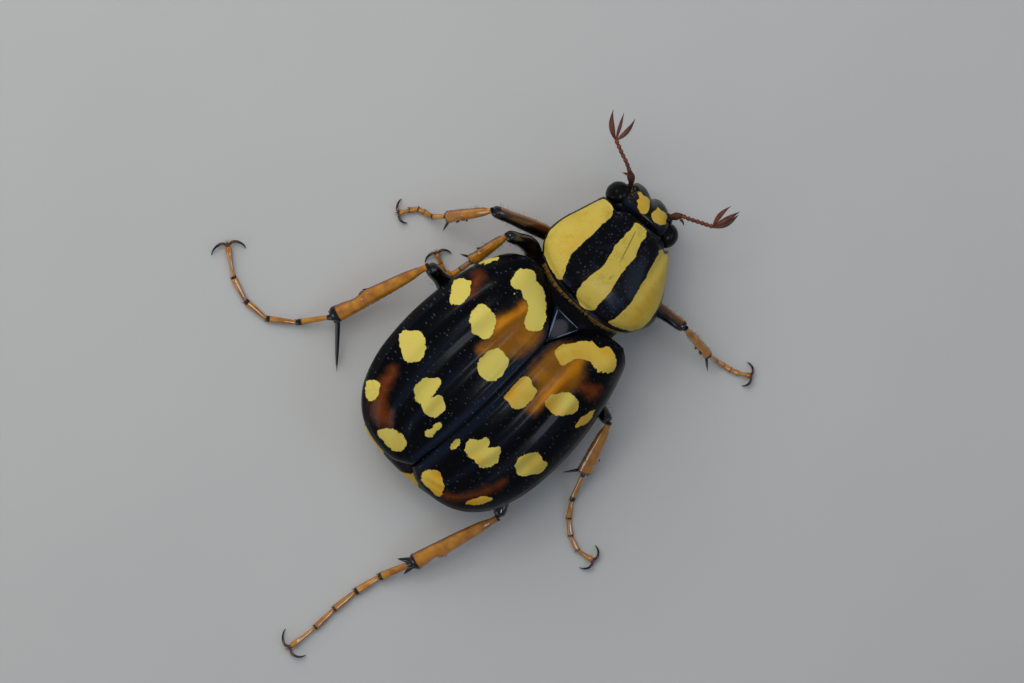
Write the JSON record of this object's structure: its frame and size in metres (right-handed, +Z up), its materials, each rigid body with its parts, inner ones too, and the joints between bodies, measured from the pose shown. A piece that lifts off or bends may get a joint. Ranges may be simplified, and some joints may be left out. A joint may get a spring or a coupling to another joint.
{
  "type": "flower chafer beetle",
  "caption": "Life-size flower chafer beetle standing on its feet, with spotted wing cases, a striped pronotum and fanned antennae.",
  "frame": {"origin": "middle of the whole beetle's box at the level of the floor it stands on", "axes": "+Z up from the floor, +Y towards the head along the body, +X to the beetle's right"},
  "size_m": [0.0302, 0.0376, 0.006],
  "materials": {
    "wing_case_black": "glossy black cuticle with pale yellow spots",
    "pronotum_yellow": "glossy yellow cuticle with two broad black bands",
    "cuticle_black": "glossy black cuticle",
    "leg_amber": "glossy amber cuticle with dark joints",
    "antenna_brown": "satin red-brown cuticle",
    "eye_black": "polished black"
  },
  "bodies": {
    "root": {"elytron_left": "wing_case_black", "elytron_right": "wing_case_black", "scutellum": "wing_case_black", "pronotum": "pronotum_yellow", "prothorax": "cuticle_black", "thorax": "cuticle_black", "abdomen": "cuticle_black", "pygidium": "cuticle_black", "head": "cuticle_black", "thigh_front_left": "cuticle_black", "thigh_front_right": "cuticle_black", "thigh_middle_left": "cuticle_black", "thigh_middle_right": "cuticle_black", "thigh_hind_left": "cuticle_black", "thigh_hind_right": "cuticle_black", "shin_front_left": "leg_amber", "shin_front_right": "leg_amber", "shin_middle_left": "leg_amber", "shin_middle_right": "leg_amber", "shin_hind_left": "leg_amber", "shin_hind_right": "leg_amber", "foot_front_left": "leg_amber", "foot_front_right": "leg_amber", "foot_middle_left": "leg_amber", "foot_middle_right": "leg_amber", "foot_hind_left": "leg_amber", "foot_hind_right": "leg_amber", "antenna_left": "antenna_brown", "antenna_right": "antenna_brown", "eye_left": "eye_black", "eye_right": "eye_black"}
  },
  "joints": []
}
